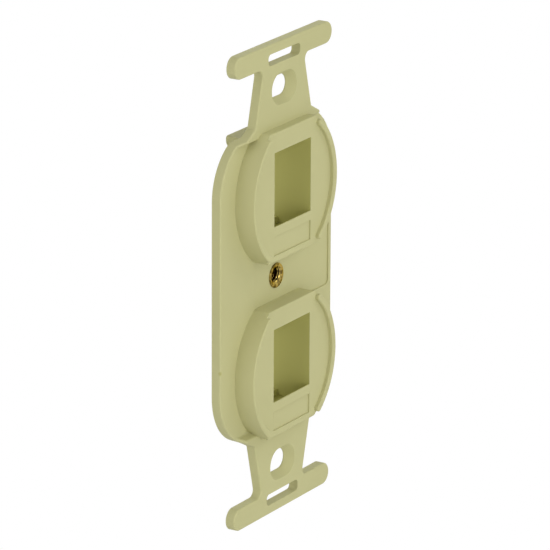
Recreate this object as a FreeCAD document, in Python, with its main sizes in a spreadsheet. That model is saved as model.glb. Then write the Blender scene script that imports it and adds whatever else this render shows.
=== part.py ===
import FreeCAD
import Part
import math
import os
import re
import Sketcher

# Two-port mounting frame for snap-in jacks, one moulding that takes the place of a duplex
# outlet behind a duplex wall plate, with a threaded brass insert for the plate's screw.
# Millimetres. X is to the right, Z is up and the front faces -Y. The origin is where the axis
# of the insert meets the wall's surface, the plane of the ears' backs. Within each body, depths
# are counted from the front plane of the plate, so both bodies are placed by that difference.

SIZES = (
    ("box_screw_spacing", 83.34, "between the two holes for the box screws"),
    ("port_spacing", 38.89, "between the centres of the two round faces"),
    ("plate_width", 45.2, "across the plate's straight sides"),
    ("plate_thickness", 2.2, "wall of the plate"),
    ("corner_radius", 12.7, "large arcs at the plate's four corners"),
    ("corner_centre_height", 21.4, "centre of those arcs above the middle"),
    ("shoulder_angle", 28.0, "slope of the shoulders, in degrees"),
    ("edge_round", 0.35, "rounding of the outer edges"),
    ("strap_rise", 1.6, "front of the straps ahead of the plate's front"),
    ("strap_thickness", 2.15, "wall of the straps and ears"),
    ("joggle_drop", 3.15, "foot of the step up to the strap, below the neck's root"),
    ("joggle_run", 0.8, "length of that step along the strap"),
    ("joggle_lag", 0.8, "how much further out the back steps"),
    ("joggle_round", 0.5, "rounding of the creases of both steps"),
    ("neck_root_width", 22.5, "width of the neck at its root"),
    ("neck_tip_width", 16.4, "width of the neck under the ears"),
    ("neck_fillet", 1.5, "fillet between neck and ears"),
    ("shoulder_fillet", 0.8, "fillet between neck and shoulders"),
    ("ear_length", 39.2, "length of the crossbar"),
    ("ear_width", 4.8, "width of the crossbar"),
    ("ear_reach", 5.53, "crossbar's inner edge beyond the box screw's centre"),
    ("ear_slot_length", 12.8, "slot in the crossbar"),
    ("ear_slot_width", 2.5, "width of that slot"),
    ("ear_slot_edge", 0.25, "crossbar left between that slot and its inner edge"),
    ("ear_slot_round", 0.95, "corners of that slot"),
    ("screw_slot_width", 4.5, "narrow width of a box screw hole"),
    ("screw_slot_travel", 3.0, "sideways play of a box screw"),
    ("screw_sink", 1.25, "how far the countersink widens a box screw hole, all round"),
    ("screw_land", 0.3, "straight wall left behind the countersink"),
    ("face_diameter", 33.8, "round face of a port"),
    ("face_flats", 28.3, "between the flats of that face"),
    ("face_rise", 3.8, "front of the face ahead of the plate"),
    ("face_wall", 2.0, "walls of the raised face"),
    ("face_edge_round", 0.3, "rounding of the face's front edge along its flats"),
    ("rim_width", 1.4, "raised rim along each curved side"),
    ("rim_rise", 0.95, "rim ahead of the face"),
    ("rim_inset", 0.9, "rim's ends short of the flats"),
    ("rim_bevel", 0.2, "bevel of the rim's top edges"),
    ("opening_width", 14.8, "front opening for a jack"),
    ("opening_height", 16.25, "height of that opening"),
    ("opening_lift", 1.75, "opening's centre above the face's centre"),
    ("sill_edge", 0.3, "thin edge left at the opening's foot, in front of a slope"),
    ("label_height", 4.3, "recess for a label under the opening"),
    ("label_gap", 2.05, "web between opening and label recess"),
    ("label_depth", 0.3, "depth of the label recess"),
    ("collar_wall", 2.15, "walls of the collar behind a face"),
    ("collar_roof", 2.7, "top wall of the collar"),
    ("collar_depth", 5.65, "collar's rear edge behind the plate's front"),
    ("hook_drop", 4.0, "pocket under the opening for a jack's fixed hook"),
    ("hook_lip_height", 1.5, "lip at the pocket's rear edge"),
    ("hook_lip_depth", 1.4, "thickness of that lip"),
    ("shelf_depth", 1.2, "top wall behind the rest of the collar"),
    ("shelf_round", 1.8, "lower corners of that shelf"),
    ("shelf_corner", 0.6, "its upper corners"),
    ("web_recess_right", 21.35, "right edge of the shallow recess between the two faces"),
    ("web_recess_left", 9.0, "left edge of that recess, short of the faces' sides"),
    ("web_recess_lap", 2.2, "how far that recess runs past the faces' flats"),
    ("web_recess_depth", 0.3, "depth of that recess"),
    ("web_recess_round", 1.2, "corners of that recess"),
    ("insert_diameter", 5.45, "brass insert for the wall plate's screw"),
    ("insert_length", 6.35, "length of the insert"),
    ("insert_bore", 2.85, "minor diameter of its thread"),
    ("insert_mouth", 4.4, "wide end of its conical mouths"),
    ("insert_mouth_depth", 0.5, "depth of those mouths"),
    ("insert_boss_diameter", 9.0, "boss around the insert behind the plate"),
)

# Places that follow from the sizes, as formulas: the shoulder's outer end across the plate, and
# heights above the middle.
SHOULDER_END = "(plate_width / 2 - corner_radius * (1 - sin(shoulder_angle)))"
NECK_ROOT = (f"(corner_centre_height + corner_radius * cos(shoulder_angle)"
             f" + ({SHOULDER_END} - neck_root_width / 2) * tan(shoulder_angle))")
STEP_FOOT = f"({NECK_ROOT} - joggle_drop)"
EAR_INNER = "(box_screw_spacing / 2 + ear_reach)"
SLOT_MIDDLE = f"({EAR_INNER} + ear_slot_edge + ear_slot_width / 2)"

SIZE_NAMES = re.compile(r"\b(" + "|".join(name for name, size, note in SIZES) + r")\b")


def makeSheet(doc):
    sheet = doc.addObject("Spreadsheet::Sheet", "Sizes")
    for row, (name, size, note) in enumerate(SIZES, start=1):
        sheet.set(f"A{row}", name)
        sheet.set(f"B{row}", str(size))
        sheet.set(f"C{row}", note)
        sheet.setAlias(f"B{row}", name)
    doc.recompute()
    return sheet


def bound(text):
    """The expression that reads the named sizes of a formula from the sheet."""
    return SIZE_NAMES.sub(r"Sizes.\1", text)


def number(owner, text):
    """The present value of a formula of named sizes."""
    value = owner.evalExpression(bound(text))
    return float(getattr(value, "Value", value))


def newSketch(body, name, plane, lift="0"):
    """A sketch on one of the body's own planes, lifted along that plane's normal."""
    sketch = body.newObject("Sketcher::SketchObject", name)
    origin = [item for item in body.Origin.OriginFeatures if item.Role == plane][0]
    sketch.AttachmentSupport = [(origin, "")]
    sketch.MapMode = "FlatFace"
    sketch.setExpression("AttachmentOffset.Base.z", bound(lift))
    body.Document.recompute()
    return sketch


def dimension(sketch, kind, references, formula):
    """A driving dimension that follows a formula of named sizes."""
    value = number(sketch, formula)
    if kind == "Angle":
        value = math.radians(value)
    index = sketch.addConstraint(Sketcher.Constraint(kind, *references, value))
    name = f"d{index}"
    sketch.renameConstraint(index, name)
    units = " * 1 deg" if kind == "Angle" else ""
    sketch.setExpression(f"Constraints.{name}", f"({bound(formula)}){units}")


def place(sketch, geometry, point, across, up):
    """Holds a point at a place given by two formulas, each with its sign in front."""
    for kind, formula in (("DistanceX", across), ("DistanceY", up)):
        sign, size = formula[0], formula[1:]
        if size == "0":
            axis = -2 if kind == "DistanceX" else -1
            sketch.addConstraint(Sketcher.Constraint("PointOnObject", geometry, point, axis))
        elif sign == "+":
            dimension(sketch, kind, (-1, 1, geometry, point), size)
        else:
            dimension(sketch, kind, (geometry, point, -1, 1), size)


def polygon(sketch, corners):
    """A closed polygon whose corners are pairs of signed formulas."""
    points = [(number(sketch, across), number(sketch, up)) for across, up in corners]
    sides = [line(sketch, start, end) for start, end in zip(points, points[1:] + points[:1])]
    joinLoop(sketch, sides, corners_after=sides)
    for side, (across, up) in zip(sides, corners):
        place(sketch, side, 1, across, up)


def rectangle(sketch, width, bottom, top):
    """A rectangle centred on the vertical axis."""
    half = f"({width}) / 2"
    polygon(sketch, (("-" + half, bottom), ("+" + half, bottom), ("+" + half, top), ("-" + half, top)))


def circle(sketch, diameter):
    """A circle about the sketch's origin."""
    radius = number(sketch, diameter) / 2
    ring = sketch.addGeometry(Part.Circle(FreeCAD.Vector(0, 0, 0), FreeCAD.Vector(0, 0, 1), radius))
    sketch.addConstraint(Sketcher.Constraint("Coincident", ring, 3, -1, 1))
    dimension(sketch, "Diameter", (ring,), diameter)


def line(sketch, start, end):
    ends = (FreeCAD.Vector(*start, 0), FreeCAD.Vector(*end, 0))
    return sketch.addGeometry(Part.LineSegment(*ends))


def arc(sketch, centre, radius, start, end):
    ring = Part.Circle(FreeCAD.Vector(*centre, 0), FreeCAD.Vector(0, 0, 1), radius)
    return sketch.addGeometry(Part.ArcOfCircle(ring, start, end))


def joinLoop(sketch, pieces, corners_after=()):
    """Joins pieces of a loop end to start, tangent except after the pieces named."""
    for first, second in zip(pieces, pieces[1:] + pieces[:1]):
        kind = "Coincident" if first in corners_after else "Tangent"
        sketch.addConstraint(Sketcher.Constraint(kind, first, 2, second, 1))


def obround(sketch, length, width, height):
    """A slot with full round ends that lies across the vertical axis."""
    middle = number(sketch, height)
    radius = number(sketch, width) / 2
    reach = number(sketch, length) / 2 - radius
    right = arc(sketch, (reach, middle), radius, -math.pi / 2, math.pi / 2)
    top = line(sketch, (reach, middle + radius), (-reach, middle + radius))
    left = arc(sketch, (-reach, middle), radius, math.pi / 2, 3 * math.pi / 2)
    bottom = line(sketch, (-reach, middle - radius), (reach, middle - radius))
    joinLoop(sketch, [right, top, left, bottom])
    half = f"(({length}) - ({width})) / 2"
    place(sketch, right, 3, "+" + half, height)
    place(sketch, left, 3, "-" + half, height)
    dimension(sketch, "Radius", (right,), f"({width}) / 2")


def shelfOutline(sketch, width, bottom, top, below, above):
    """A bar centred on the vertical axis, with one radius for its lower and one for its upper corners."""
    half, low, high = (number(sketch, text) for text in (f"({width}) / 2", bottom, top))
    large, small = number(sketch, below), number(sketch, above)
    quarter = math.pi / 2

    under = line(sketch, (large - half, low), (half - large, low))
    lower_right = arc(sketch, (half - large, low + large), large, -quarter, 0)
    right = line(sketch, (half, low + large), (half, high - small))
    upper_right = arc(sketch, (half - small, high - small), small, 0, quarter)
    over = line(sketch, (half - small, high), (small - half, high))
    upper_left = arc(sketch, (small - half, high - small), small, quarter, 2 * quarter)
    left = line(sketch, (-half, high - small), (-half, low + large))
    lower_left = arc(sketch, (large - half, low + large), large, 2 * quarter, 3 * quarter)
    joinLoop(sketch, [under, lower_right, right, upper_right, over, upper_left, left, lower_left])
    for level in (under, over):
        sketch.addConstraint(Sketcher.Constraint("Horizontal", level))
    for upright in (right, left):
        sketch.addConstraint(Sketcher.Constraint("Vertical", upright))
    for turn in (lower_right, lower_left):
        dimension(sketch, "Radius", (turn,), below)
    for turn in (upper_right, upper_left):
        dimension(sketch, "Radius", (turn,), above)
    dimension(sketch, "DistanceX", (-1, 1, right, 1), f"({width}) / 2")
    dimension(sketch, "DistanceX", (left, 1, -1, 1), f"({width}) / 2")
    dimension(sketch, "DistanceY", (-1, 1, over, 1), top)
    dimension(sketch, "DistanceY", (-1, 1, under, 1), bottom)


def pad(body, sketch, length, backward=False):
    feature = body.newObject("PartDesign::Pad", sketch.Name.replace("_sketch", ""))
    feature.Profile = sketch
    feature.setExpression("Length", bound(length))
    feature.Reversed = backward
    body.Document.recompute()
    return feature


def pocket(body, sketch, depth=None, both_ways=False):
    """A pocket of the depth given, or right through."""
    feature = body.newObject("PartDesign::Pocket", sketch.Name.replace("_sketch", ""))
    feature.Profile = sketch
    if depth:
        feature.setExpression("Length", bound(depth))
    else:
        feature.Type = "ThroughAll"
        feature.Midplane = both_ways
    body.Document.recompute()
    return feature


def edgesWhere(feature, test):
    """Names of a feature's edges whose box passes a test."""
    names = []
    for index, edge in enumerate(feature.Shape.Edges, start=1):
        if test(edge, edge.BoundBox):
            names.append(f"Edge{index}")
    return names


def dress(body, kind, name, size, test):
    """A fillet or chamfer on the edges of the body's last feature that pass a test."""
    base = body.Tip
    feature = body.newObject("PartDesign::" + kind, name)
    feature.Base = (base, edgesWhere(base, test))
    feature.setExpression("Radius" if kind == "Fillet" else "Size", bound(size))
    body.Document.recompute()
    return feature


def alongDepth(edge, box):
    """True for a straight edge that runs from front to back."""
    return box.YLength > 0.1 and box.XLength < 0.01 and box.ZLength < 0.01


def plateOutline(sketch):
    """Straight sides, four large arcs and shoulders that rise to a peak hidden in each neck."""
    half_width = number(sketch, "plate_width") / 2
    radius = number(sketch, "corner_radius")
    centre_x = half_width - radius
    centre_z = number(sketch, "corner_centre_height")
    slope = math.radians(number(sketch, "shoulder_angle"))
    end_x = centre_x + radius * math.sin(slope)
    end_z = centre_z + radius * math.cos(slope)
    peak_z = end_z + end_x * math.tan(slope)
    quarter = math.pi / 2

    right = line(sketch, (half_width, -centre_z), (half_width, centre_z))
    upper_right = arc(sketch, (centre_x, centre_z), radius, 0, quarter - slope)
    roof_right = line(sketch, (end_x, end_z), (0, peak_z))
    roof_left = line(sketch, (0, peak_z), (-end_x, end_z))
    upper_left = arc(sketch, (-centre_x, centre_z), radius, quarter + slope, 2 * quarter)
    left = line(sketch, (-half_width, centre_z), (-half_width, -centre_z))
    lower_left = arc(sketch, (-centre_x, -centre_z), radius, 2 * quarter, 3 * quarter - slope)
    floor_left = line(sketch, (-end_x, -end_z), (0, -peak_z))
    floor_right = line(sketch, (0, -peak_z), (end_x, -end_z))
    lower_right = arc(sketch, (centre_x, -centre_z), radius, 3 * quarter + slope, 4 * quarter)

    joinLoop(sketch, [right, upper_right, roof_right, roof_left, upper_left,
                      left, lower_left, floor_left, floor_right, lower_right],
             corners_after=(roof_right, floor_left))
    for slope_to_peak in (roof_right, floor_left):
        sketch.addConstraint(Sketcher.Constraint("PointOnObject", slope_to_peak, 2, -2))
    for side in (right, left):
        sketch.addConstraint(Sketcher.Constraint("Vertical", side))
    dimension(sketch, "DistanceX", (-1, 1, right, 1), "plate_width / 2")
    dimension(sketch, "DistanceX", (left, 1, -1, 1), "plate_width / 2")
    for turn in (upper_right, upper_left, lower_left, lower_right):
        dimension(sketch, "Radius", (turn,), "corner_radius")
    for turn in (upper_right, upper_left):
        dimension(sketch, "DistanceY", (-1, 1, turn, 3), "corner_centre_height")
    for turn in (lower_right, lower_left):
        dimension(sketch, "DistanceY", (turn, 3, -1, 1), "corner_centre_height")
    dimension(sketch, "Angle", (-1, 1, roof_right, 2), "-shoulder_angle")
    dimension(sketch, "Angle", (-1, 1, floor_right, 1), "shoulder_angle")


def makeBlank(body):
    """The plate, necks and crossbars as one flat blank, then stepped front and back."""
    depth = "plate_thickness + strap_rise"

    plate = newSketch(body, "plate_sketch", "XZ_Plane", "-plate_thickness")
    plateOutline(plate)
    pad(body, plate, depth)

    necks = newSketch(body, "necks_sketch", "XZ_Plane", "-plate_thickness")
    root, tip = "neck_root_width / 2", "neck_tip_width / 2"
    lean = f"({root} - {tip}) / ({EAR_INNER} - {NECK_ROOT})"
    buried = "shoulder_fillet * 2"
    for up in "+-":
        low = f"{up}({NECK_ROOT} - {buried})"
        high = f"{up}({EAR_INNER} + ear_width / 2)"
        wide = f"({root} + {lean} * {buried})"
        slim = f"({tip} - {lean} * ear_width / 2)"
        polygon(necks, (("-" + wide, low), ("+" + wide, low), ("+" + slim, high), ("-" + slim, high)))
    pad(body, necks, depth)

    crossbars = newSketch(body, "crossbars_sketch", "XZ_Plane", "-plate_thickness")
    for up in "+-":
        obround(crossbars, "ear_length", "ear_width", f"{up}({EAR_INNER} + ear_width / 2)")
    pad(body, crossbars, depth)

    # The plate's front lies behind the straps' front, over a short ramp at each end.
    front = newSketch(body, "front_step_sketch", "YZ_Plane")
    foot, head = STEP_FOOT, f"({STEP_FOOT} + joggle_run)"
    above = "-(strap_rise * 2)"
    rise = "-strap_rise"
    polygon(front, (
        ("+0", "-" + foot), ("+0", "+" + foot), (rise, "+" + head),
        (above, "+" + head), (above, "-" + head), (rise, "-" + head)))
    pocket(body, front, both_ways=True)

    # The back steps forward too, a little further out, so that the ramp keeps its wall.
    back_rise = "(plate_thickness + strap_rise - strap_thickness)"
    back_run = f"{back_rise} * joggle_run / strap_rise"
    back = newSketch(body, "back_step_sketch", "YZ_Plane")
    behind = "+(plate_thickness * 2)"
    for up in "+-":
        low = f"{up}({STEP_FOOT} + joggle_lag)"
        high = f"{up}({STEP_FOOT} + joggle_lag + {back_run})"
        past = f"{up}({EAR_INNER} + ear_width * 2)"
        polygon(back, (
            ("+plate_thickness", low), ("+(strap_thickness - strap_rise)", high),
            ("+(strap_thickness - strap_rise)", past), (behind, past), (behind, low)))
    pocket(body, back, both_ways=True)


def makeStraps(body):
    """Fillets of the blank, and the slots and box screw holes of both straps."""
    def neckCorner(edge, box):
        return alongDepth(edge, box) and abs(box.ZMin) > bar - 0.1 and abs(box.XMin) < tip + 1

    def shoulderCorner(edge, box):
        return alongDepth(edge, box) and head < abs(box.ZMin) < bar - 1

    bar = number(body, EAR_INNER)
    tip = number(body, "neck_tip_width / 2")
    foot = number(body, STEP_FOOT)
    head = number(body, f"{STEP_FOOT} + joggle_run")
    root = number(body, NECK_ROOT)
    dress(body, "Fillet", "neck_fillets", "neck_fillet", neckCorner)
    dress(body, "Fillet", "shoulder_fillets", "shoulder_fillet", shoulderCorner)

    def crease(edge, box):
        level = box.ZLength < 0.01 and box.YLength < 0.01
        return level and foot - 0.1 < abs(box.ZMin) < root

    dress(body, "Fillet", "step_rounds", "joggle_round", crease)

    back = number(body, "strap_thickness - strap_rise")

    def frontOutline(edge, box):
        across = box.ZLength < 0.01 and foot - 1 < abs(box.ZMin) < root + 1
        return box.YLength < 0.01 and box.YMin < back - 0.1 and not across

    dress(body, "Fillet", "edge_rounds", "edge_round", frontOutline)

    slots = newSketch(body, "ear_slots_sketch", "XZ_Plane", "strap_rise")
    for up in "+-":
        low = f"{up}({SLOT_MIDDLE} - ear_slot_width / 2)"
        high = f"{up}({SLOT_MIDDLE} + ear_slot_width / 2)"
        rectangle(slots, "ear_slot_length", low, high)
    pocket(body, slots)
    reach = number(body, "ear_slot_length / 2")
    inner = number(body, f"{SLOT_MIDDLE} - ear_slot_width")

    def slotCorner(edge, box):
        return alongDepth(edge, box) and abs(abs(box.XMin) - reach) < 0.01 and abs(box.ZMin) > inner

    dress(body, "Fillet", "ear_slot_corners", "ear_slot_round", slotCorner)

    holes = newSketch(body, "screw_holes_sketch", "XZ_Plane", "strap_rise")
    for up in "+-":
        length = "screw_slot_width + screw_slot_travel"
        obround(holes, length, "screw_slot_width", f"{up}(box_screw_spacing / 2)")
    pocket(body, holes)
    front = -number(body, "strap_rise")
    middle = number(body, "box_screw_spacing / 2")
    near = number(body, "screw_slot_width")

    def holeMouth(edge, box):
        flat = box.YLength < 0.01 and abs(box.YMin - front) < 0.01
        return flat and abs(abs(box.Center.z) - middle) < near and abs(box.Center.x) < near

    sinks = dress(body, "Chamfer", "countersinks", "strap_thickness - screw_land", holeMouth)
    sinks.ChamferType = "Two distances"
    sinks.setExpression("Size2", bound("screw_sink"))
    body.Document.recompute()


def makeWeb(body):
    """The shallow recess between the faces, and the boss that holds the insert."""
    recess = newSketch(body, "web_recess_sketch", "XZ_Plane")
    half = "((port_spacing - face_flats) / 2 + web_recess_lap)"
    left, right = "-web_recess_left", "+web_recess_right"
    polygon(recess, ((left, "-" + half), (right, "-" + half), (right, "+" + half), (left, "+" + half)))
    pocket(body, recess, "web_recess_depth")
    ends = (number(body, left), number(body, "web_recess_right"))

    def recessCorner(edge, box):
        at_end = min(abs(box.XMin - end) for end in ends) < 0.01
        return alongDepth(edge, box) and at_end and box.YMin > -0.01

    dress(body, "Fillet", "web_recess_corners", "web_recess_round", recessCorner)

    boss = newSketch(body, "insert_boss_sketch", "XZ_Plane", "-web_recess_depth")
    circle(boss, "insert_boss_diameter")
    pad(body, boss, "insert_length - web_recess_depth", backward=True)


def faceOutline(sketch, radius, flats):
    """A circle cut by two flats, above and below."""
    half = number(sketch, flats) / 2
    size = number(sketch, radius)
    reach = math.sqrt(size ** 2 - half ** 2)
    turn = math.asin(half / size)
    right = arc(sketch, (0, 0), size, -turn, turn)
    top = line(sketch, (reach, half), (-reach, half))
    left = arc(sketch, (0, 0), size, math.pi - turn, math.pi + turn)
    bottom = line(sketch, (-reach, -half), (reach, -half))
    loop = [right, top, left, bottom]
    joinLoop(sketch, loop, corners_after=loop)
    for side in (right, left):
        sketch.addConstraint(Sketcher.Constraint("Coincident", side, 3, -1, 1))
        dimension(sketch, "Radius", (side,), radius)
    for flat in (top, bottom):
        sketch.addConstraint(Sketcher.Constraint("Horizontal", flat))
    dimension(sketch, "DistanceY", (-1, 1, top, 1), f"({flats}) / 2")
    dimension(sketch, "DistanceY", (bottom, 1, -1, 1), f"({flats}) / 2")


def rimOutline(sketch, side):
    """A curved band with round ends, along the right or left of the face."""
    outer = number(sketch, "face_diameter / 2")
    width = number(sketch, "rim_width")
    middle = outer - width / 2
    end_z = number(sketch, "face_flats / 2 - rim_inset - rim_width / 2")
    turn = math.asin(end_z / middle)
    facing = 0 if side > 0 else math.pi
    cap = width / 2
    ends = []
    for angle in (facing - turn, facing + turn):
        ends.append((middle * math.cos(angle), middle * math.sin(angle)))
    outside = arc(sketch, (0, 0), outer, facing - turn, facing + turn)
    last = arc(sketch, ends[1], cap, facing + turn, facing + turn + math.pi)
    inside = arc(sketch, (0, 0), outer - width, facing - turn, facing + turn)
    first = arc(sketch, ends[0], cap, facing - turn + math.pi, facing - turn)
    for geometry in (outside, inside):
        sketch.addConstraint(Sketcher.Constraint("Coincident", geometry, 3, -1, 1))
    dimension(sketch, "Radius", (outside,), "face_diameter / 2")
    dimension(sketch, "Radius", (inside,), "face_diameter / 2 - rim_width")
    joints = ((outside, 2, last, 1), (last, 2, inside, 2), (inside, 1, first, 1), (first, 2, outside, 1))
    for joint in joints:
        sketch.addConstraint(Sketcher.Constraint("Tangent", *joint))
    reach = "(face_flats / 2 - rim_inset - rim_width / 2)"
    upper, lower = (last, first) if side > 0 else (first, last)
    dimension(sketch, "DistanceY", (-1, 1, upper, 3), reach)
    dimension(sketch, "DistanceY", (lower, 3, -1, 1), reach)


def makePort(body):
    """A raised face with its rims, opening, label recess and collar, then a second one below."""
    centre = "port_spacing / 2"
    features = []

    def sketchAt(name, lift):
        sketch = newSketch(body, name, "XZ_Plane", lift)
        sketch.setExpression("AttachmentOffset.Base.y", bound(centre))
        body.Document.recompute()
        return sketch

    face = sketchAt("face_sketch", "-plate_thickness")
    faceOutline(face, "face_diameter / 2", "face_flats")
    features.append(pad(body, face, "plate_thickness + face_rise"))

    rims = sketchAt("rims_sketch", "face_rise")
    for side in (1, -1):
        rimOutline(rims, side)
    features.append(pad(body, rims, "rim_rise"))

    # Behind the face the moulding is cored out to an even wall.
    ceiling = "face_rise - face_wall"
    core = sketchAt("core_sketch", ceiling)
    faceOutline(core, "face_diameter / 2 - face_wall", "face_flats - 2 * face_wall")
    features.append(pocket(body, core))

    collar = sketchAt("collar_sketch", ceiling)
    top = "(opening_lift + opening_height / 2)"
    bottom = "(opening_height / 2 - opening_lift)"
    rectangle(collar, "opening_width + 2 * collar_wall",
              f"-({bottom} + hook_drop + collar_wall)", f"+({top} + collar_roof)")
    features.append(pad(body, collar, f"{ceiling} + collar_depth", backward=True))

    shelf = sketchAt("shelf_sketch", "-collar_depth")
    shelfOutline(shelf, "opening_width + 2 * collar_wall", top, f"({top} + collar_roof)",
                 "shelf_round", "shelf_corner")
    features.append(pad(body, shelf, "shelf_depth", backward=True))

    cavity = sketchAt("cavity_sketch", ceiling)
    rectangle(cavity, "opening_width", f"-({bottom} + hook_drop)", f"+{top}")
    features.append(pocket(body, cavity))

    opening = sketchAt("opening_sketch", "face_rise")
    rectangle(opening, "opening_width", f"-{bottom}", f"+{top}")
    features.append(pocket(body, opening, "face_wall"))

    # The wall under the opening slopes away behind a thin edge, for the jack's fixed hook.
    sill = newSketch(body, "sill_sketch", "YZ_Plane")
    thin = "-(face_rise - sill_edge)"
    foot = f"+({centre} - {bottom})"
    polygon(sill, (
        (thin, foot), ("-(face_rise - face_wall)", foot),
        ("-(face_rise - face_wall)", f"+({centre} - {bottom} - (face_wall - sill_edge))")))
    slope = pocket(body, sill, "opening_width")
    slope.Midplane = True
    body.Document.recompute()
    features.append(slope)

    lip = sketchAt("hook_lip_sketch", "-collar_depth")
    floor = f"({bottom} + hook_drop)"
    rectangle(lip, "opening_width", f"-{floor}", f"-({floor} - hook_lip_height)")
    features.append(pad(body, lip, "hook_lip_depth"))

    label = sketchAt("label_sketch", "face_rise")
    rectangle(label, "opening_width",
              f"-({bottom} + label_gap + label_height)", f"-({bottom} + label_gap)")
    features.append(pocket(body, label, "label_depth"))

    both = body.newObject("PartDesign::LinearPattern", "both_ports")
    both.Originals = features
    upright = [item for item in body.Origin.OriginFeatures if item.Role == "Z_Axis"][0]
    both.Direction = (upright, [""])
    both.Reversed = True
    both.Occurrences = 2
    both.setExpression("Length", bound("port_spacing"))
    body.Tip = both
    body.Document.recompute()


def makeFrame(doc):
    body = doc.addObject("PartDesign::Body", "mounting_frame")
    body.Label = "mounting_frame"
    makeBlank(body)
    makeStraps(body)
    makeWeb(body)
    makePort(body)

    top = number(body, "-(face_rise + rim_rise)")
    front = number(body, "-face_rise")
    length = number(body, "2 * sqrt((face_diameter / 2) ^ 2 - (face_flats / 2) ^ 2)")

    def rimEdge(edge, box):
        return box.YLength < 0.01 and abs(box.YMin - top) < 0.01

    def faceEdge(edge, box):
        level = box.YLength < 0.01 and box.ZLength < 0.01
        return level and abs(box.YMin - front) < 0.01 and abs(box.XLength - length) < 0.01

    dress(body, "Chamfer", "rim_edges", "rim_bevel", rimEdge)
    dress(body, "Fillet", "face_edges", "face_edge_round", faceEdge)
    seat = newSketch(body, "insert_seat_sketch", "XZ_Plane", "strap_rise")
    circle(seat, "insert_diameter")
    pocket(body, seat)
    return body


def makeInsert(doc):
    """A turned brass bush, flush with the plate's front, its bore with a cone at each end."""
    body = doc.addObject("PartDesign::Body", "threaded_insert")
    body.Label = "threaded_insert"
    sketch = newSketch(body, "insert_section_sketch", "YZ_Plane")
    outside = "+insert_diameter / 2"
    bore = "+insert_bore / 2"
    mouth = "+insert_mouth / 2"
    polygon(sketch, (
        ("+0", outside), ("+0", mouth), ("+insert_mouth_depth", bore),
        ("+(insert_length - insert_mouth_depth)", bore),
        ("+insert_length", mouth), ("+insert_length", outside)))
    turned = body.newObject("PartDesign::Revolution", "bush")
    turned.Profile = sketch
    axis = [item for item in body.Origin.OriginFeatures if item.Role == "Y_Axis"][0]
    turned.ReferenceAxis = (axis, [""])
    turned.Angle = 360
    doc.recompute()
    return body


def main():
    os.makedirs("parts", exist_ok=True)
    doc = FreeCAD.newDocument("keystone_frame")
    makeSheet(doc)
    bodies = (makeFrame(doc), makeInsert(doc))
    for body in bodies:
        body.setExpression("Placement.Base.y", bound("strap_rise - strap_thickness"))
    doc.recompute()
    for item in doc.Objects:
        if {"Invalid", "Error"} & set(item.State):
            raise RuntimeError(f"{item.Name} failed: {item.State}")
    for body in bodies:
        if body.Shape.isNull() or not body.Shape.isValid():
            raise RuntimeError(f"{body.Label} has no valid shape")
        body.Shape.exportStep(f"parts/{body.Label}.step")
        box = body.Shape.BoundBox
        print(f"{body.Label}: {len(body.Shape.Solids)} solid, {body.Shape.Volume:.1f} mm3, "
              f"{box.XLength:.2f} x {box.YLength:.2f} x {box.ZLength:.2f} mm")


main()
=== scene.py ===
import math
import bmesh
import bpy
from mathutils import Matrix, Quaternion, Vector


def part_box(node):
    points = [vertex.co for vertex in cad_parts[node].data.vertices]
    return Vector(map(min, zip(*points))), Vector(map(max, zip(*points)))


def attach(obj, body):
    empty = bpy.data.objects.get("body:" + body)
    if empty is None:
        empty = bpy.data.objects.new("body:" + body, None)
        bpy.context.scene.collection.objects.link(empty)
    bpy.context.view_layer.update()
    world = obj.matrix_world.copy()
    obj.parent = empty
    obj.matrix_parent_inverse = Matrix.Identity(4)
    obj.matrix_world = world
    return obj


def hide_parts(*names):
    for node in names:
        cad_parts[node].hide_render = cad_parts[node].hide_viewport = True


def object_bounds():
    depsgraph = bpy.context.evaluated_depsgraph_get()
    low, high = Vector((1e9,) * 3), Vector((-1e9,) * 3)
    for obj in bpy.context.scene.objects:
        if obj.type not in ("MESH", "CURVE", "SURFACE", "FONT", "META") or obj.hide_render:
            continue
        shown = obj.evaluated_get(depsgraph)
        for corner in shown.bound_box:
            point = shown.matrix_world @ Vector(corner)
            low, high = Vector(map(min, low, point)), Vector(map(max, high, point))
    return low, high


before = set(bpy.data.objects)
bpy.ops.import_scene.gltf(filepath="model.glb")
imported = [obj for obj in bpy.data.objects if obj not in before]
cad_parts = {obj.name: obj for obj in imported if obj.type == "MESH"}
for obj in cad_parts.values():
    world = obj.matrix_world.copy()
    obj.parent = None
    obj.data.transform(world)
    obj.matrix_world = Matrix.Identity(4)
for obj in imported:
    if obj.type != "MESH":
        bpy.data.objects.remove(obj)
cadLow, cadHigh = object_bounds()
print("frame loaded:", sorted(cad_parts))

mm = 0.001
white = (1.0, 1.0, 1.0, 1.0)


def deselectAll():
    if bpy.context.mode != "OBJECT":
        bpy.ops.object.mode_set(mode="OBJECT")
    bpy.ops.object.select_all(action="DESELECT")


def makeActive(piece):
    deselectAll()
    piece.select_set(True)
    bpy.context.view_layer.objects.active = piece


def editAll(piece):
    makeActive(piece)
    bpy.ops.object.mode_set(mode="EDIT")
    bpy.ops.mesh.select_all(action="SELECT")


def applyModifier(piece, kind, settings):
    makeActive(piece)
    modifier = piece.modifiers.new(kind.lower(), kind)
    for key, value in settings.items():
        setattr(modifier, key, value)
    bpy.ops.object.modifier_apply(modifier=modifier.name)


def cutWith(piece, cutter):
    applyModifier(piece, "BOOLEAN", {
        "operation": "DIFFERENCE", "solver": "EXACT", "object": cutter})
    bpy.data.objects.remove(cutter, do_unlink=True)


def finishPiece(piece, smoothAngle):
    # its place goes into the mesh, and shading breaks only at real corners
    makeActive(piece)
    bpy.ops.object.transform_apply(location=True, rotation=True, scale=True)
    bpy.ops.object.shade_smooth_by_angle(angle=math.radians(smoothAngle))
    deselectAll()


def dress(piece, material):
    piece.data.materials.clear()
    piece.data.materials.append(material)


# Shader maths as plain expressions: a socket in a small wrapper.

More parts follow.
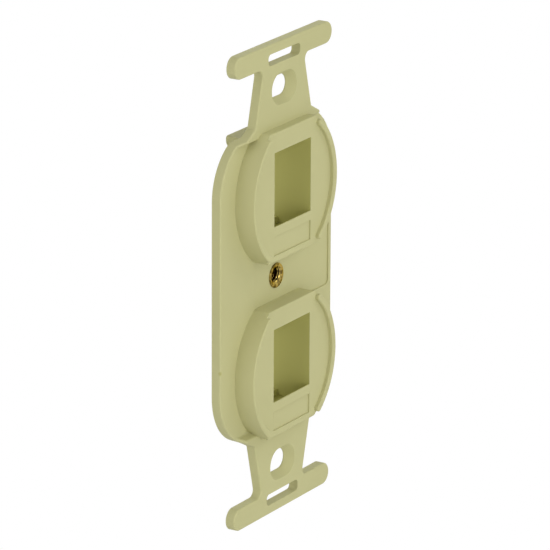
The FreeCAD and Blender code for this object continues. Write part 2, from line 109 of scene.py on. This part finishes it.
class Signal:
    def __init__(self, finish, socket):
        self.finish = finish
        self.socket = socket

    def sibling(self, output):
        # another output of the same node
        return Signal(self.finish, self.socket.node.outputs[output])

    def maths(self, operation, first, second=None):
        values = {0: first} if second is None else {0: first, 1: second}
        return self.finish.node("ShaderNodeMath", {"operation": operation}, values)

    def __add__(self, other):
        return self.maths("ADD", self, other)

    def __radd__(self, other):
        return self.maths("ADD", other, self)

    def __sub__(self, other):
        return self.maths("SUBTRACT", self, other)

    def __rsub__(self, other):
        return self.maths("SUBTRACT", other, self)

    def __mul__(self, other):
        return self.maths("MULTIPLY", self, other)

    def __rmul__(self, other):
        return self.maths("MULTIPLY", other, self)

    def __truediv__(self, other):
        return self.maths("DIVIDE", self, other)

    def __rtruediv__(self, other):
        return self.maths("DIVIDE", other, self)

    def __pow__(self, other):
        return self.maths("POWER", self, other)

    def __rpow__(self, other):
        return self.maths("POWER", other, self)

    def atLeast(self, other):
        return self.maths("MAXIMUM", self, other)

    def magnitude(self):
        return self.maths("ABSOLUTE", self)

    def ramp(self, low, high):
        # 0 below low, 1 above high
        return self.finish.node(
            "ShaderNodeMapRange", {"interpolation_type": "SMOOTHSTEP", "clamp": True},
            {"Value": self, "From Min": low, "From Max": high})

    def within(self, limit, edge):
        # 1 below limit, 0 above it, with a soft edge to each side
        return 1.0 - self.ramp(limit - edge, limit + edge)


class Finish:
    # the nodes of a material or of the world
    def __init__(self, owner):
        owner.use_nodes = True
        self.owner = owner
        self.nodes = owner.node_tree.nodes
        self.links = owner.node_tree.links
        self.nodes.clear()

    def node(self, kind, settings, inputs, output=0):
        made = self.nodes.new(kind)
        for key, value in settings.items():
            setattr(made, key, value)
        for key, value in inputs.items():
            if isinstance(value, Signal):
                self.links.new(value.socket, made.inputs[key])
            else:
                made.inputs[key].default_value = value
        return Signal(self, made.outputs[output]) if made.outputs else made

    def place(self):
        return self.node("ShaderNodeTexCoord", {}, {}, "Object")

    def axes(self):
        x = self.node("ShaderNodeSeparateXYZ", {}, {0: self.place()})
        return x, x.sibling(1), x.sibling(2)

    def noise(self, scale, detail):
        return self.node("ShaderNodeTexNoise", {}, {
            "Vector": self.place(), "Scale": scale, "Detail": detail})

    def mix(self, factor, first, second):
        # by index, because the colour sockets share their names with the number sockets
        return self.node("ShaderNodeMix", {"data_type": "RGBA"},
                         {0: factor, 6: first, 7: second}, 2)

    def near(self, point, inner, outer):
        # 1 within inner of a point, 0 beyond outer
        away = self.node("ShaderNodeVectorMath", {"operation": "DISTANCE"},
                         {0: self.place(), 1: point}, "Value")
        return 1.0 - away.ramp(inner, outer)

    def relief(self, height, inputs):
        # height in metres, worked out in millimetres, where the numbers aren't tiny
        return self.node("ShaderNodeBump", {}, {
            "Height": height / mm, "Strength": 1.0, "Distance": mm, **inputs})

    def surface(self, inputs):
        shader = self.node("ShaderNodeBsdfPrincipled", {}, inputs)
        self.node("ShaderNodeOutputMaterial", {}, {"Surface": shader})
        return self.owner

    def whiteToTheCamera(self, kind, shaded, plain):
        # camera, mirror and glass rays see plain white, and all other rays the shaded colour
        camera = self.node("ShaderNodeLightPath", {}, {}, "Is Camera Ray")
        seen = camera.atLeast(camera.sibling("Is Glossy Ray"))
        seen = seen.atLeast(camera.sibling("Is Transmission Ray"))
        mixed = self.node("ShaderNodeMixShader", {}, {0: seen, 1: shaded, 2: plain})
        self.node(kind, {}, {"Surface": mixed})
        return self.owner


# Ivory plastic, moulded: satin, with a fine grain from the mould and faint flow marks.

ivory = {
    "colour": (0.513, 0.497, 0.255, 1.0),
    "flowColour": (0.500, 0.484, 0.246, 1.0),
    "flowScale": 55.0,
    "flowDetail": 3.0,
    "flowLimits": (0.35, 0.7),
    "grainScale": 5200.0,
    "grainDetail": 2.0,
    "grainHeight": 0.012 * mm,
    "rippleScale": 420.0,
    "rippleDetail": 1.0,
    "rippleHeight": 0.02 * mm,
    "roughness": 0.5,
    "roughnessSpread": 0.10,
    "ior": 1.5,
    "gloss": 0.06,
    "edgeRound": 0.08 * mm,
    "edgeSamples": 8,
    "speckPlace": (-22.6 * mm, -0.45 * mm, -15.7 * mm),  # a small darker spot on the plate's left edge
    "speckCore": 0.186 * mm,
    "speckSize": 0.62 * mm,
    "speckColour": (0.41, 0.39, 0.16, 1.0),
}

# Painted shade inside each port, as two boxes: how far the middle is lifted, half the height, the
# front.

inside = {
    # the painted shade's colour, darker and deeper than the ivory
    "colour": (0.463, 0.447, 0.146, 1.0),
    "portHeight": 19.445 * mm,    # of a port's middle, above and below the insert
    "opening": (0.9 * mm, 9.0 * mm, -4.33 * mm),
    "collar": (-0.25 * mm, 10.18 * mm, -2.45 * mm),
    "halfWidth": 7.45 * mm,
    "rear": 6.1 * mm,
    "edge": 0.04 * mm,
    "frontFade": 0.12 * mm,
    "rearFade": 1.0 * mm,
}


def ivoryPlastic():
    finish = Finish(bpy.data.materials.new("ivoryPlastic"))
    flow = finish.noise(ivory["flowScale"], ivory["flowDetail"]).ramp(*ivory["flowLimits"])
    body = finish.mix(flow, ivory["colour"], ivory["flowColour"])
    # painted shade: the plastic is coloured darker and deeper inside the ports, the openings and
    # the collars behind them
    x, y, z = finish.axes()
    across = x.magnitude().within(inside["halfWidth"], inside["edge"])
    ahead = 1.0 - y.ramp(inside["rear"] - inside["rearFade"], inside["rear"])
    paintedPortShade = 0.0
    for box in ("opening", "collar"):
        lift, halfHeight, front = inside[box]
        along = ((z - lift).magnitude() - inside["portHeight"]).magnitude()
        along = along.within(halfHeight, inside["edge"])
        paintedPortShade = (along * y.ramp(front, front + inside["frontFade"])).atLeast(paintedPortShade)
    # painted shade mixed into the ivory inside the ports
    body = finish.mix(across * ahead * paintedPortShade, body, inside["colour"])
    speck = finish.near(ivory["speckPlace"], ivory["speckCore"], ivory["speckSize"])
    grain = finish.noise(ivory["grainScale"], ivory["grainDetail"])
    ripple = finish.noise(ivory["rippleScale"], ivory["rippleDetail"])
    height = grain * ivory["grainHeight"] + ripple * ivory["rippleHeight"]
    edges = finish.node("ShaderNodeBevel", {"samples": ivory["edgeSamples"]},
                        {"Radius": ivory["edgeRound"]})
    return finish.surface({
        "Base Color": finish.mix(speck, body, ivory["speckColour"]),
        "Roughness": ivory["roughness"] + (grain - 0.5) * ivory["roughnessSpread"],
        "Normal": finish.relief(height, {"Normal": edges}),
        "IOR": ivory["ior"],
        "Specular IOR Level": ivory["gloss"]})


# The frame: a copy of its CAD mesh, with the lower screw hole's countersink as the upper one's.

countersink = {
    "middleZ": -41.67 * mm,
    "halfTravel": 1.5 * mm,       # of the slot's straight run, to each side
    "bore": 2.25 * mm,
    "land": 0.3 * mm,             # of straight wall that stays behind the cone
    "widening": 1.25 * mm,
    "cadWidening": 1.85 * mm,
    "front": -2.15 * mm,
    "ahead": -0.5 * mm,           # the cone's points lie ahead of this, and the back's behind it
    "margin": 0.01,               # for points on the cone's two rims, as a share of its width
    "merge": 0.001 * mm,
    "smoothAngle": 30,
}


def buildFrame():
    makeActive(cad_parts["mounting_frame"])
    bpy.ops.object.duplicate()
    moulding = bpy.context.active_object
    moulding.name = "frame_moulding"
    bpy.ops.mesh.customdata_custom_splitnormals_clear()
    editAll(moulding)
    bpy.ops.mesh.remove_doubles(threshold=countersink["merge"])
    shape = bmesh.from_edit_mesh(moulding.data)
    middleZ, halfTravel = countersink["middleZ"], countersink["halfTravel"]
    bore, land, front = countersink["bore"], countersink["land"], countersink["front"]
    margin = countersink["margin"]
    moved = 0
    for vertex in shape.verts:
        # outward from the slot's middle line: share is 0 at the bore, 1 at the cone's mouth
        x, y, z = vertex.co
        middleX = max(-halfTravel, min(halfTravel, x))
        outward = Vector((x - middleX, z - middleZ))
        share = (outward.length - bore) / countersink["cadWidening"]
        if y < countersink["ahead"] and -margin < share < 1 + margin:
            outward = outward.normalized() * (bore + countersink["widening"] * share)
            vertex.co = (middleX + outward.x, -land + (front + land) * share, middleZ + outward.y)
            moved += 1
    bmesh.update_edit_mesh(moulding.data)
    bpy.ops.object.mode_set(mode="OBJECT")
    finishPiece(moulding, countersink["smoothAngle"])
    applyModifier(moulding, "WEIGHTED_NORMAL", {"keep_sharp": True})
    deselectAll()
    print("frame:", len(moulding.data.polygons), "faces,", moved, "points of the countersink set")
    return moulding


# The insert: a turned brass bush, its colour darker in patches, partly random tone and partly
# painted shade for dark reflections, with a real thread cut between two cones.

insert = {
    "steps": 96,
    "rimBevel": 0.06 * mm,
    "rimSegments": 2,
    "mouthRadius": 2.2 * mm,
    "mouthDepth": 0.5 * mm,
    "mouthPast": 0.3 * mm,        # how far a cone's cutter runs past each of its ends
    "threadPitch": 25.4 / 32 * mm,
    "threadMajorRadius": 1.753 * mm,
    "threadMinorRadius": 1.425 * mm,
    "threadFlankAngle": 30,
    "threadCrest": 0.125,         # of the pitch
    "threadMerge": 0.005,         # of the pitch
    "threadSteps": 64,
    "spareTurns": 3,
    "sliver": 0.001 * mm,
    "smoothAngle": 35,
}


def turnedCylinder(radius, low, high, steps):
    deselectAll()
    bpy.ops.mesh.primitive_cylinder_add(
        vertices=steps, radius=radius, depth=high - low,
        location=(0, (low + high) / 2, 0), rotation=(math.pi / 2, 0, 0))
    return bpy.context.active_object


def threadedCore(low, high):
    # one pitch of the thread's section, drawn from a single point, then screwed up a helix
    pitch = insert["threadPitch"]
    minor, major = insert["threadMinorRadius"], insert["threadMajorRadius"]
    depth = major - minor
    flank = depth * math.tan(math.radians(insert["threadFlankAngle"]))
    crest = pitch * insert["threadCrest"]
    merge = pitch * insert["threadMerge"]
    section = [(flank, depth), (crest, 0), (flank, -depth), (pitch - crest - 2 * flank, 0)]
    turns = math.ceil((high - low) / pitch) + insert["spareTurns"]

    deselectAll()
    bpy.ops.mesh.primitive_plane_add(size=pitch, location=(0, 0, 0))
    core = bpy.context.active_object
    editAll(core)
    bpy.ops.mesh.merge(type="CENTER")
    bpy.ops.transform.translate(value=(minor, 0, 0))
    for along, outward in section:
        bpy.ops.mesh.extrude_vertices_move(TRANSFORM_OT_translate={"value": (outward, 0, along)})
    applyModifier(core, "SCREW", {
        "axis": "Z", "screw_offset": pitch, "iterations": turns,
        "steps": insert["threadSteps"], "render_steps": insert["threadSteps"],
        "use_merge_vertices": True, "merge_threshold": merge})

    # both open ends are drawn out flat, well past the bush, and filled
    editAll(core)
    bpy.ops.mesh.remove_doubles(threshold=merge)
    length = (turns + 1) * pitch  # the section's own pitch, and one more for each turn
    for side, target in ((-1, -pitch), (1, length + pitch)):
        bpy.ops.mesh.select_all(action="DESELECT")
        shape = bmesh.from_edit_mesh(core.data)
        for edge in shape.edges:
            middle = (edge.verts[0].co.z + edge.verts[1].co.z) / 2
            edge.select_set(edge.is_boundary and (middle - length / 2) * side > 0)
        bmesh.update_edit_mesh(core.data)
        bpy.ops.mesh.extrude_edges_move()
        shape = bmesh.from_edit_mesh(core.data)
        for vertex in shape.verts:
            if vertex.select:
                vertex.co.z = target
        bmesh.update_edit_mesh(core.data)
        bpy.ops.mesh.edge_face_add()
    bpy.ops.mesh.select_all(action="SELECT")
    bpy.ops.mesh.normals_make_consistent(inside=False)
    if bmesh.from_edit_mesh(core.data).calc_volume(signed=True) < 0:
        bpy.ops.mesh.flip_normals()
    bpy.ops.object.mode_set(mode="OBJECT")

    # from Z to Y, its middle at the middle of the bush
    core.rotation_euler = (math.pi / 2, 0, 0)
    core.location = (0, (low + high) / 2 + length / 2, 0)
    makeActive(core)
    bpy.ops.object.transform_apply(location=True, rotation=True, scale=True)
    return core


def mouthCone(edge, inward):
    # a cone flatter than 45 degrees, which starts outside the bush and ends inside its bore
    depth, past = insert["mouthDepth"], insert["mouthPast"]
    wide, narrow = insert["mouthRadius"], insert["threadMinorRadius"]
    slope = (wide - narrow) / depth
    deselectAll()
    bpy.ops.mesh.primitive_cone_add(
        vertices=insert["steps"], depth=depth + 2 * past,
        radius1=narrow - slope * past, radius2=wide + slope * past,
        location=(0, edge + inward * depth / 2, 0), rotation=(inward * math.pi / 2, 0, 0))
    return bpy.context.active_object


def buildInsert():
    low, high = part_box("threaded_insert")
    bush = turnedCylinder(high[0], low[1], high[1], insert["steps"])
    bush.name = "threaded_bush"
    applyModifier(bush, "BEVEL", {
        "width": insert["rimBevel"], "segments": insert["rimSegments"], "limit_method": "ANGLE"})
    cutWith(bush, threadedCore(low[1], high[1]))
    cutWith(bush, mouthCone(low[1], 1))
    cutWith(bush, mouthCone(high[1], -1))
    # slivers left by the cuts are closed up
    editAll(bush)
    bpy.ops.mesh.remove_doubles(threshold=insert["sliver"])
    bpy.ops.mesh.dissolve_degenerate(threshold=insert["sliver"])
    finishPiece(bush, insert["smoothAngle"])
    print("insert:", len(bush.data.polygons), "faces")
    return bush


brass = {
    "colour": (0.42, 0.31, 0.085, 1.0),
    # darker patches: partly tarnish, partly painted shade standing in for dark reflections
    "tarnishAndDarkReflection": (0.13, 0.09, 0.023, 1.0),
    "patchScale": 1400.0,
    "patchDetail": 4.0,
    "patchLimits": (0.38, 0.62),
    "toolMarkScale": 9000.0,
    "toolMarkDetail": 1.0,
    "toolMarkHeight": 0.0015 * mm,
    "toolMarkLean": 0.7,          # how much the marks also step along the bore
    "roughness": 0.12,
    "darkPatchRoughness": 0.08,
    "grazing": (0.8, 0.64, 0.37, 1.0),
}


def brassWithPaintedReflection():
    finish = Finish(bpy.data.materials.new("brassWithPaintedReflection"))
    # patches of darker colour: random tone and painted shade for dark reflections
    patches = finish.noise(brass["patchScale"], brass["patchDetail"]).ramp(*brass["patchLimits"])
    x, y, z = finish.axes()
    radius = (x * x + z * z) ** 0.5
    rings = finish.node("ShaderNodeTexNoise", {"noise_dimensions": "1D"}, {
        "W": radius + y * brass["toolMarkLean"],
        "Scale": brass["toolMarkScale"], "Detail": brass["toolMarkDetail"]})
    return finish.surface({
        "Base Color": finish.mix(patches, brass["colour"], brass["tarnishAndDarkReflection"]),
        "Metallic": 1.0,
        "Roughness": brass["roughness"] + patches * brass["darkPatchRoughness"],
        "Normal": finish.relief(rings * brass["toolMarkHeight"], {}),
        "Specular Tint": brass["grazing"]})


# Stage, lamps and camera

stage = {
    "floorDrop": 0.22,
    "floorSize": 12.0,
    "floorColour": (0.86, 0.86, 0.86, 1.0),
    "worldStrength": 0.15,
    "lampDistance": 1.6,
    "lampSize": 1.4,
    "lamps": (
        {"name": "frontLamp", "from": (-0.1, -1.0, 0.1), "watts": 4.6, "size": 0.6},
        {"name": "leftFrontLamp", "from": (-0.6, -1.0, 0.3), "watts": 9.1},
        {"name": "leftLamp", "from": (-1.0, -0.25, 0.05), "watts": 3.0},
        {"name": "topLeftLamp", "from": (-1.0, 0.3, 0.6), "watts": 8.5},
        {"name": "topRightLamp", "from": (0.6, -0.6, 0.8), "watts": 7.9},
        {"name": "topLamp", "from": (0.0, -0.25, 1.0), "watts": 3.0},
        {"name": "rightRearLamp", "from": (1.0, 1.0, 0.2), "watts": 3.6},
        {"name": "rearLamp", "from": (0.3, 1.0, 0.15), "watts": 9.0},
    ),
}

view = {
    "azimuth": -58.787,
    "elevation": 17.457,
    "roll": 0.261,
    "distance": 1.08864,
    "aim": (-0.254 * mm, -0.231 * mm, 0.081 * mm),
    "lens": 335.75,
    "sensor": 36.0,
    "clip": (0.05, 50.0),
}


def placeOn(holder, aim, direction, distance, roll=0.0):
    # from aim, along direction, and turned to look back at it
    bpy.context.collection.objects.link(holder)
    holder.location = aim + direction * distance
    holder.rotation_mode = "QUATERNION"
    turn = Quaternion((0, 0, 1), math.radians(roll))
    holder.rotation_quaternion = direction.to_track_quat("Z", "Y") @ turn


def buildStage():
    deselectAll()
    bpy.ops.mesh.primitive_plane_add(
        size=stage["floorSize"], location=(0, 0, cadLow.z - stage["floorDrop"]))
    floor = bpy.context.active_object
    floor.name = "floor"
    paper = Finish(bpy.data.materials.new("paper"))
    matt = paper.node("ShaderNodeBsdfDiffuse", {}, {"Color": stage["floorColour"]})
    glow = paper.node("ShaderNodeEmission", {}, {"Color": white, "Strength": 1.0})
    dress(floor, paper.whiteToTheCamera("ShaderNodeOutputMaterial", matt, glow))

    studio = Finish(bpy.data.worlds.new("studio"))
    ambient = studio.node("ShaderNodeBackground", {}, {
        "Color": white, "Strength": stage["worldStrength"]})
    plain = studio.node("ShaderNodeBackground", {}, {"Color": white, "Strength": 1.0})
    world = studio.whiteToTheCamera("ShaderNodeOutputWorld", ambient, plain)
    bpy.context.scene.world = world

    for lamp in stage["lamps"]:
        light = bpy.data.lights.new(lamp["name"], "AREA")
        light.shape = "DISK"
        light.size = lamp.get("size", stage["lampSize"])
        light.energy = lamp["watts"]
        holder = bpy.data.objects.new(lamp["name"], light)
        placeOn(holder, Vector(), Vector(lamp["from"]).normalized(), stage["lampDistance"])


def buildCamera():
    azimuth, elevation = math.radians(view["azimuth"]), math.radians(view["elevation"])
    back = Vector((math.sin(azimuth) * math.cos(elevation),
                   -math.cos(azimuth) * math.cos(elevation), math.sin(elevation)))
    lens = bpy.data.cameras.new("camera")
    lens.lens = view["lens"]
    lens.sensor_width = view["sensor"]
    lens.clip_start, lens.clip_end = view["clip"]
    camera = bpy.data.objects.new("camera", lens)
    placeOn(camera, Vector(view["aim"]), back, view["distance"], view["roll"])
    bpy.context.scene.camera = camera


buildStage()
buildCamera()
print("stage, lamps and camera")

moulding = buildFrame()
dress(moulding, ivoryPlastic())
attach(moulding, "root")
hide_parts("mounting_frame")
print("frame dressed in ivory plastic")

bush = buildInsert()
dress(bush, brassWithPaintedReflection())
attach(bush, "root")
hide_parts("threaded_insert")
print("insert dressed in brass")

bpy.context.scene.view_settings.view_transform = "Standard"
